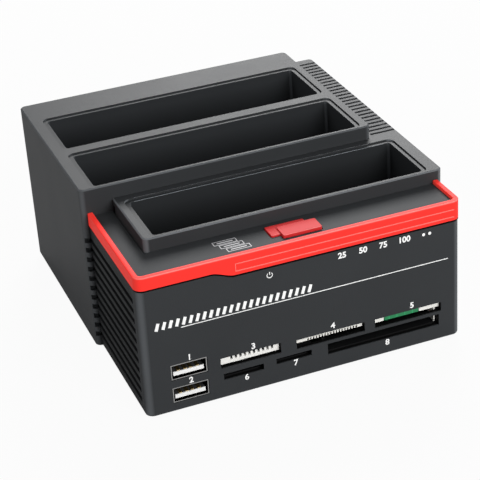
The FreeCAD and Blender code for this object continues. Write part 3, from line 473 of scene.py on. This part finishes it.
# %% Paint by slot
finish_of = {
    "housing_plastic": housing_skin, "bezel_plastic": bezel_skin, "well_plastic": well_skin,
    "trim_red": trim_red, "key_red": key_red, "board_green": board_green,
    "connector_white": white_nylon, "connector_black": black_nylon, "shell_metal": tinned_steel,
    "contact_metal": gold_flash, "can_metal": can_sleeve, "light_clear": clear_epoxy,
    "screw_steel": zinc_steel, "foot_rubber": foot_rubber,
}
own_finish = {
    "left_card_contacts": tooth_strip, "port_tongues": tongue_white, "lower_front_port": port_steel,
    "upper_front_port": port_steel, "vent_shell": vent_skin, "power_switch_frame": switch_black,
    "power_rocker": switch_black, "dc_jack": switch_black,
}
slot_of = {row["node"]: row["material_slot"] for row in frame["record"]["subparts"]}
for name, slot in slot_of.items():
    mesh = node[name].data
    mesh.materials.clear()
    mesh.materials.append(own_finish.get(name, finish_of[slot]))
print("painted", len(slot_of), "nodes")

# %% [markdown]
# ## Edges as a mould leaves them
# No moulded edge is truly sharp: the cutter that made the mould had a radius, and that tiny round
# catches the light as the thin bright lines along every rim of the dock. CAD meshes are loose
# triangles, so each moulding is copied, its triangles are joined into whole faces, and a Bevel
# modifier rounds the edges.

# %% Softened mouldings
SHARP = math.radians(30.0)
FLAT = math.radians(0.6)
JOIN_GAP = 2e-6
bodies = frame["record"]["behaviour"]["bodies"]
body_of = {name: body for body, names in bodies.items() for name in names}


def new_piece(name, mesh, finish, body):
    """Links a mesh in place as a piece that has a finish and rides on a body."""
    mesh.materials.append(finish)
    piece = bpy.data.objects.new(name, mesh)
    bpy.context.collection.objects.link(piece)
    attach(piece, body)
    print(name, len(mesh.polygons), "faces before its modifiers")
    return piece


def shade_smooth(mesh):
    """Smooth shading that stops at sharp edges."""
    mesh.polygons.foreach_set("use_smooth", np.ones(len(mesh.polygons), bool))
    mesh.set_sharp_from_angle(angle=SHARP)


def softened(name, width):
    """A joined copy of a CAD node, each sharp edge rounded by the width in millimetres."""
    work = bmesh.new()
    work.from_mesh(node[name].data)
    bmesh.ops.remove_doubles(work, verts=work.verts, dist=JOIN_GAP)
    bmesh.ops.dissolve_limit(work, angle_limit=FLAT, verts=work.verts, edges=work.edges)
    mesh = bpy.data.meshes.new(name + "_soft")
    work.to_mesh(mesh)
    work.free()
    shade_smooth(mesh)
    piece = new_piece(name + "_soft", mesh, node[name].data.materials[0], body_of[name])
    edge = piece.modifiers.new("edge", "BEVEL")
    edge.width = width * MM
    edge.segments = 2
    edge.limit_method = "ANGLE"
    edge.angle_limit = SHARP
    edge.harden_normals = True
    even = piece.modifiers.new("even", "WEIGHTED_NORMAL")
    even.weight = 100
    even.keep_sharp = True
    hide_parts(name)


edge_width = {
    "upper_shell": 0.3, "vent_shell": 0.25, "front_bezel": 0.22, "copy_button": 0.2,
    "rear_drive_well": 0.25, "middle_drive_well": 0.25, "front_drive_well": 0.25,
    "power_switch_frame": 0.2, "power_rocker": 0.2, "dc_jack": 0.15, "host_port": 0.12,
}
for name, width in edge_width.items():
    softened(name, width)

# %% [markdown]
# ## The red light trim: its path
# A translucent red strip runs round the deck: a web let into the front, a lip that lies on the deck,
# and a shallow groove on its face. It could be cut from blocks as in the CAD, but its edges should be
# round and its corners smooth. So one closed profile is carried along a path: down the left arm,
# round the corner, along the front and up the right arm. The path gives a centre and an outward
# direction for each of its points.

# %% Light trim: path
front_y = -69.318299
nose_radius = 3.0
sill_z, deck_z, trim_top = 1.5, 55.9, 57.2
sill_half, lean = 61.0, 0.4
left_arm, right_arm = 49.75, 14.65
step_start, step_length = -34.4, 9.2
bar_left, bar_right, bar_flank = -25.2, -24.85, 0.04


def half_front(z):
    """Half the front's width at a height: it narrows evenly from the sill to the trim's top."""
    return sill_half - lean * (z - sill_z) / (trim_top - sill_z)


def run(share, turn, back):
    """Path points: share of the front's half width, turn of the outward direction, way to the rear."""
    share, back = np.asarray(share, float), np.asarray(back, float)
    return np.stack(np.broadcast_arrays(share, np.radians(turn), back), 1)


front_half = half_front(trim_top) - nose_radius
front_x = np.concatenate([
    np.linspace(-front_half, -35.0, 8), np.linspace(step_start, -25.5, 28),
    [bar_left - bar_flank, bar_left, bar_right, bar_right + bar_flank],
    np.linspace(-20.0, front_half - 0.5, 16)])
corner = np.linspace(0.0, 90.0, 13)
path = np.concatenate([
    run(-1.0, 0.0, np.linspace(left_arm, 1.0, 6)), run(-1.0, corner, 0.0),
    run(front_x / front_half, 90.0, 0.0), run(1.0, 90.0 + corner, 0.0),
    run(1.0, 180.0, np.linspace(1.0, right_arm, 3))])
path_x = path[:, 0] * front_half
print("trim path:", len(path), "points")

# %% [markdown]
# ## The red light trim: its profile
# The profile lists how far out and how high each of its points lies: up the face, over the outer
# round, across the lip, over the inner round and down the back. The strip is deeper on the right, and
# its lower edge steps down in a smooth S. Two lines and an upright bar are pressed in as the groove,
# and the lowest rows form the joint to the bezel.

# %% Light trim: profile
web_foot = 48.9
band_height, band_drop = 5.6, 2.5
proud, joint_proud = 0.25, 0.07
outer_round, inner_round = 0.35, 0.3
lip_back, web_back = -1.7, -1.6
arc = np.radians([0.0, 25.0, 50.0, 75.0, 90.0])
face_z = [web_foot, 49.08, 49.58, 49.64, 50.80, 50.95, 51.22, 51.26, 53.70, 53.85, 54.10, 54.14, 56.6]
out = np.concatenate([
    [joint_proud], [proud] * (len(face_z) - 1), proud - outer_round + outer_round * np.cos(arc),
    lip_back + inner_round - inner_round * np.sin(arc), [lip_back, web_back, web_back]])
level = np.concatenate([
    face_z, trim_top - outer_round + outer_round * np.sin(arc),
    trim_top - inner_round + inner_round * np.cos(arc), [deck_z, deck_z, web_foot]])

step = np.clip((path_x - step_start) / step_length, 0.0, 1.0)
lower_edge = (trim_top - band_height - band_drop * step ** 2 * (3 - 2 * step))[:, None]
row = np.arange(len(out))
column = path_x[:, None]
joint_rows, foot_rows, lower_line, upper_line = 3, 4, (5, 6), (9, 10)
on_front = np.isclose(path[:, 1:2], math.pi / 2)
from_bar = column > bar_left - bar_flank / 2
to_bar = column < bar_right + bar_flank / 2
bar = from_bar & to_bar & (row >= lower_line[0]) & (row <= upper_line[0])
lines = from_bar & np.isin(row, lower_line + upper_line)
groove = on_front & (bar | lines)
# The lowest rows of the profile carry painted shade along the joint.
seam = np.broadcast_to(row < joint_rows, groove.shape)
print("trim profile:", len(out), "points,", groove.sum(), "of the grid in the groove")

# %% [markdown]
# ## The red light trim: its surface
# Path and profile together make a grid of points. A loop could place them one by one, but whole arrays
# give all of them at once. Quads join each point to its neighbours, and a cap closes each end, so the
# strip is a closed skin. Groove and joint are stored as masks on the points, where the red finish
# finds them.

# %% Light trim: surface
groove_depth = 0.3


def light_trim_points():
    """Profile along the path: heights scaled to the strip's depth, then out from the path's centre."""
    share = (level - web_foot) / (trim_top - web_foot)
    z = lower_edge + share * (trim_top - lower_edge)
    z = np.where(row < foot_rows, lower_edge + level - web_foot, z)
    z = np.where(level >= deck_z, level, z)
    reach = nose_radius + out - groove_depth * groove
    x = path[:, :1] * (half_front(z) - nose_radius) - np.cos(path[:, 1:2]) * reach
    y = front_y + nose_radius + path[:, 2:] - np.sin(path[:, 1:2]) * reach
    return np.stack([x, y, z], 2)


def tube(rows, columns):
    """Quads of a closed profile (columns) along an open path (rows), with a cap on each end."""
    first, second = np.meshgrid(np.arange(rows - 1), np.arange(columns), indexing="ij")
    after = (second + 1) % columns
    quads = np.stack([first * columns + second, (first + 1) * columns + second,
                      (first + 1) * columns + after, first * columns + after], 2)
    last = (rows - 1) * columns
    caps = [list(range(columns)), list(range(last + columns - 1, last - 1, -1))]
    return quads.reshape(-1, 4).tolist() + caps


trim_points = light_trim_points()
trim_mesh = bpy.data.meshes.new("light_trim_band")
trim_mesh.from_pydata((trim_points.reshape(-1, 3) * MM).tolist(), [], tube(*trim_points.shape[:2]))
shade_smooth(trim_mesh)
# These masks carry the groove's painted highlight and the joint's painted shade.
for name, mask in (("cut", groove), ("seam", seam)):
    values = trim_mesh.attributes.new(name, "FLOAT", "POINT").data
    values.foreach_set("value", mask.astype(float).ravel())
trim = new_piece("light_trim_band", trim_mesh, trim_red, "housing")
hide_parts("light_trim")

# %% [markdown]
# ## Pad print: outlines
# The front carries white pad print: a film of ink a few hundredths of a millimetre thick. It could be
# a colour mask in the plastic's material, but crisp edges at any distance need real outlines. Ribbons
# along paths give rules and rings, and the built-in font gives plain numbers.


# %% Outlines of the marks
def ribbon(path, width, closed=False):
    """Flat strip along a path: each point moves to both sides along the mitre of its two runs."""
    path = np.asarray(path, float)
    ahead = np.roll(path, -1, 0) - path
    if not closed:
        ahead[-1] = ahead[-2]
    ahead /= np.linalg.norm(ahead, axis=1)[:, None]
    behind = np.roll(ahead, 1, 0)
    if not closed:
        behind[0] = ahead[0]
    along = ahead + behind
    mitre = np.stack([-along[:, 1], along[:, 0]], 1) * width / (along ** 2).sum(1)[:, None]
    count = len(path)
    first = np.arange(count if closed else count - 1)
    after = (first + 1) % count
    faces = np.stack([first + count, after + count, after, first], 1)
    return np.concatenate([path + mitre, path - mitre]), faces.tolist()


def figure(text, height):
    """Filled outline of plain numbers, the middle of their foot at the origin."""
    figure_share, boldness = 0.69, 0.05
    curve = bpy.data.curves.new("figure", "FONT")
    curve.body = text
    curve.size = height / figure_share
    curve.align_x = "CENTER"
    curve.resolution_u = 4
    curve.offset = boldness * height
    maker = bpy.data.objects.new("figure", curve)
    mesh = bpy.data.meshes.new_from_object(maker)
    points = np.empty(3 * len(mesh.vertices))
    mesh.vertices.foreach_get("co", points)
    faces = [list(face.vertices) for face in mesh.polygons]
    bpy.data.objects.remove(maker)
    bpy.data.curves.remove(curve)
    bpy.data.meshes.remove(mesh)
    return points.reshape(-1, 3)[:, :2], faces


def circle(radius, start=0.0, end=2 * math.pi, count=32):
    """Points on an arc: radius times the cosine and sine of evenly spaced angles."""
    angle = np.linspace(start, end, count, endpoint=end - start < 2 * math.pi)
    return radius * np.stack([np.cos(angle), np.sin(angle)], 1)


print("a ring of 32 points makes", len(ribbon(circle(1.0), 0.3, True)[1]), "faces")

# %% [markdown]
# ## Pad print: the film of ink
# The pad lays all marks of a face down at once, so all of them are one mesh here as well. Marks are
# drawn flat, in millimetres, and two directions lay them on their face. A thin Solidify then gives
# the ink its thickness, which keeps it clear of the plastic below.


# %% Ink film
def moved(mark, x, z):
    """A mark shifted in its plane."""
    return mark[0] + (x, z), mark[1]


def printed(name, marks, origin, across, upward, body, finish):
    """Lays flat marks on the plane through origin along across and upward, and thickens the ink."""
    starts = np.cumsum([0] + [len(points) for points, _ in marks])
    flat = np.concatenate([points for points, _ in marks])
    faces = [[start + i for i in face] for start, (_, part) in zip(starts, marks) for face in part]
    place = origin + flat[:, :1] * np.asarray(across, float) + flat[:, 1:] * np.asarray(upward, float)
    mesh = bpy.data.meshes.new(name)
    mesh.from_pydata((place * MM).tolist(), [], faces)
    piece = new_piece(name, mesh, finish, body)
    film = piece.modifiers.new("film", "SOLIDIFY")
    film.thickness = 0.02 * MM
    film.offset = 1.0


white_ink = moulded("white_ink", (0.83, 0.83, 0.82), 0.5, grain=4000.0, depth=0.004, cloud=0.05)
grey_ink = moulded("grey_ink", (0.36, 0.36, 0.37), 0.5, grain=4000.0, depth=0.004, cloud=0.08)
print("inks:", white_ink.name, grey_ink.name)

# %% [markdown]
# ## What is printed
# Plain numbers stand by each port and slot and along the light scale. A ring with a bar marks the
# power light, two dots the last light. A row of slanted bars stands on a long rule across the front.
# All are placed in millimetres on the front's own plane, because that is how a pad's plate is drawn.

# %% Front print
number_height, stroke = 2.2, 0.3
slot_numbers = {"1": (-44.1, 21.0), "2": (-44.1, 11.6), "3": (-20.5, 18.6), "4": (10.0, 18.3),
                "5": (41.2, 18.0), "6": (-23.6, 6.6), "7": (-4.8, 7.1), "8": (31.2, 5.2)}
scale_z = 45.8
scale_numbers = {"25": 14.4, "50": 22.4, "75": 30.2, "100": 38.4}
power_sign = (-12.9, 46.2)
dots_z, dots_x = 46.8, (46.0, 48.4)
rule_z, rule_x, rule_width = 34.7, (-46.2, 5.0, 55.7), 0.32
bars_x = np.arange(-54.6, 2.0, 2.45)
bar_foot, bar_head, bar_slant, bar_width = 35.5, 38.4, 0.45, 1.15

marks = [moved(figure(text, number_height), *place) for text, place in slot_numbers.items()]
marks += [moved(figure(text, number_height), x, scale_z) for text, x in scale_numbers.items()]
marks.append(moved(ribbon(circle(1.0, start=-4.0, end=0.9, count=24), stroke), *power_sign))
marks.append(moved(ribbon([(0.0, 0.2), (0.0, 1.35)], stroke), *power_sign))
marks += [moved(ribbon(circle(0.35, count=16), 0.5, True), x, dots_z) for x in dots_x]
marks.append(ribbon([(x, rule_z) for x in rule_x], rule_width))
marks += [ribbon([(x - bar_slant, bar_foot), (x + bar_slant, bar_head)], bar_width) for x in bars_x]
printed("front_print", marks, (0, front_y, 0), (1, 0, 0), (0, 0, 1), "housing",
        white_ink)

# %% [markdown]
# ## Labels on the deck
# Beside the key lie three framed labels in grey ink, each a little lower and further right than the
# one before. One outline, shifted in a loop, makes all three, and a bar stands in the middle of each.

# %% Deck print
label_wide, label_deep = 8.4, 2.3
first_label, label_shift = np.array([-28.2, -58.0]), np.array([1.5, -2.9])
bar_from, bar_to = (1.3, 1.15), (7.1, 1.15)
label = np.array([(0.0, 0.0), (label_wide, 0.0), (label_wide, label_deep), (0.0, label_deep)])
labels = [label + (first_label + label_shift * line) for line in range(3)]
marks = [ribbon(outline, stroke, True) for outline in labels]
marks += [ribbon([outline[0] + bar_from, outline[0] + bar_to], 0.55) for outline in labels]
printed("deck_print", marks, (0, 0, deck_z), (1, 0, 0), (0, 1, 0), "housing", grey_ink)

# %% [markdown]
# ## Marks on the power rocker
# A bar and a ring are the plain signs for on and off. They lie on the rocker's two sloping faces and
# ride with it. Their places could be read off the mesh, but the rocker's own outline, turned by its
# tilt at rest, gives them exactly.

# %% Rocker marks
rocker_pivot = np.array([24.0, 64.931701, 35.5])
tilt = math.radians(-8.0)
turn = np.array([[1, 0, 0], [0, math.cos(tilt), -math.sin(tilt)], [0, math.sin(tilt), math.cos(tilt)]])
valley_out, rise, face_length = 2.8, 0.8, 7.7
mark_height, clear = 4.3, 0.01
mark_out = valley_out + rise * mark_height / face_length + clear
for name, half, mark in (("on_mark", 1, ribbon([(0.0, -1.5), (0.0, 1.5)], 0.55)),
                         ("off_mark", -1, ribbon(circle(1.4, count=28), 0.5, True))):
    middle = rocker_pivot + turn @ np.array([0.0, mark_out, mark_height * half])
    slope = turn @ np.array([0.0, rise * half, face_length]) / math.hypot(rise, face_length)
    printed(name, [mark], middle, (-1, 0, 0), slope, "rocker", white_ink)

# %% [markdown]
# ## Floor
# The dock stands on a white sweep of paper. Paper bright enough to look white would throw too much
# light back at the dock, so the sheet is grey and keeps the dock's shadow. To the camera it is mixed
# with plain white, and to mirror rays partly so, by what kind of ray asks.


# %% Floor
def white_share(graph, camera_share, mirror_share, glass_share):
    """Sum of the shares of those kinds of ray that the light path says are asking."""
    rays = graph.node("ShaderNodeLightPath", {}, {}, None)
    seen, mirror, glass = [Value(graph, rays.outputs[name])
                           for name in ("Is Camera Ray", "Is Glossy Ray", "Is Transmission Ray")]
    return camera_share * seen + mirror_share * mirror + glass_share * glass


def sheet_floor(size):
    """A flat square sheet under the feet, its corners at plus and minus the size."""
    mesh = bpy.data.meshes.new("floor")
    corners = [(-size, -size, 0), (size, -size, 0), (size, size, 0), (-size, size, 0)]
    mesh.from_pydata(corners, [], [(0, 1, 2, 3)])
    sheet = bpy.data.objects.new("floor", mesh)
    bpy.context.collection.objects.link(sheet)
    return sheet


pure_white = (1.0, 1.0, 1.0, 1.0)
floor = sheet_floor(3.0)
paper = Finish("paper", **{"Base Color": (0.36, 0.36, 0.36, 1.0), "Roughness": 0.9})
white = paper.node("ShaderNodeEmission", {}, {"Color": pure_white, "Strength": 1.0})
mixed = paper.node("ShaderNodeMixShader", {},
                   {0: white_share(paper, 0.95, 0.2, 0.2), 1: paper.shader, 2: white})
paper.feed(paper.output.inputs["Surface"], mixed)
floor.data.materials.append(paper.material)
print("floor:", floor.name, "in", paper.material.name)

# %% [markdown]
# ## World
# Past the sheet the camera sees plain white, so no horizon shows. The dock itself gets only a weak,
# slightly cool light from all round, as from the walls of a studio. One Background node could not be
# both, so the kind of ray chooses between two.

# %% World
world = bpy.data.worlds.new("studio")
bpy.context.scene.world = world
world.use_nodes = True
sky = Graph(world.node_tree)
ambient = sky.node("ShaderNodeBackground", {}, {"Color": (0.95, 0.97, 1.0, 1.0), "Strength": 0.12})
backdrop = sky.node("ShaderNodeBackground", {}, {"Color": pure_white, "Strength": 1.0})
shown = sky.node("ShaderNodeMixShader", {},
                 {0: white_share(sky, 1.0, 0.2, 1.0), 1: ambient, 2: backdrop})
sky.node("ShaderNodeOutputWorld", {}, {"Surface": shown}, None)
print("world:", world.name)

# %% [markdown]
# ## Lamps
# One broad lamp above and behind turns the top faces grey and throws the soft shadow of the bays on
# the deck; a weaker one lights the front, and a faint one the left wall. Square area lamps stand for
# softboxes: the larger the square, the softer the shadow.

# %% Lamps
lamp_aim = (0.0, 0.0, 0.03)


def softbox(name, place, size, power):
    """A square area lamp that looks from its place to the middle of the dock."""
    lamp = bpy.data.lights.new(name, "AREA")
    lamp.size = size
    lamp.energy = power
    back = np.subtract(place, lamp_aim)
    back /= np.linalg.norm(back)
    side = np.cross((0.0, 0.0, 1.0), back)
    side /= np.linalg.norm(side)
    set_up(bpy.data.objects.new(name, lamp), side, np.cross(back, side), back, place)
    print(name, power, "W")


softbox("top_light", (0.46, 0.84, 0.74), 0.6, 19.0)
softbox("front_light", (0.3, -1.1, 0.6), 0.8, 18.0)
softbox("left_light", (-1.0, 0.2, 0.6), 0.7, 5.0)
bpy.context.scene.view_settings.view_transform = "Standard"
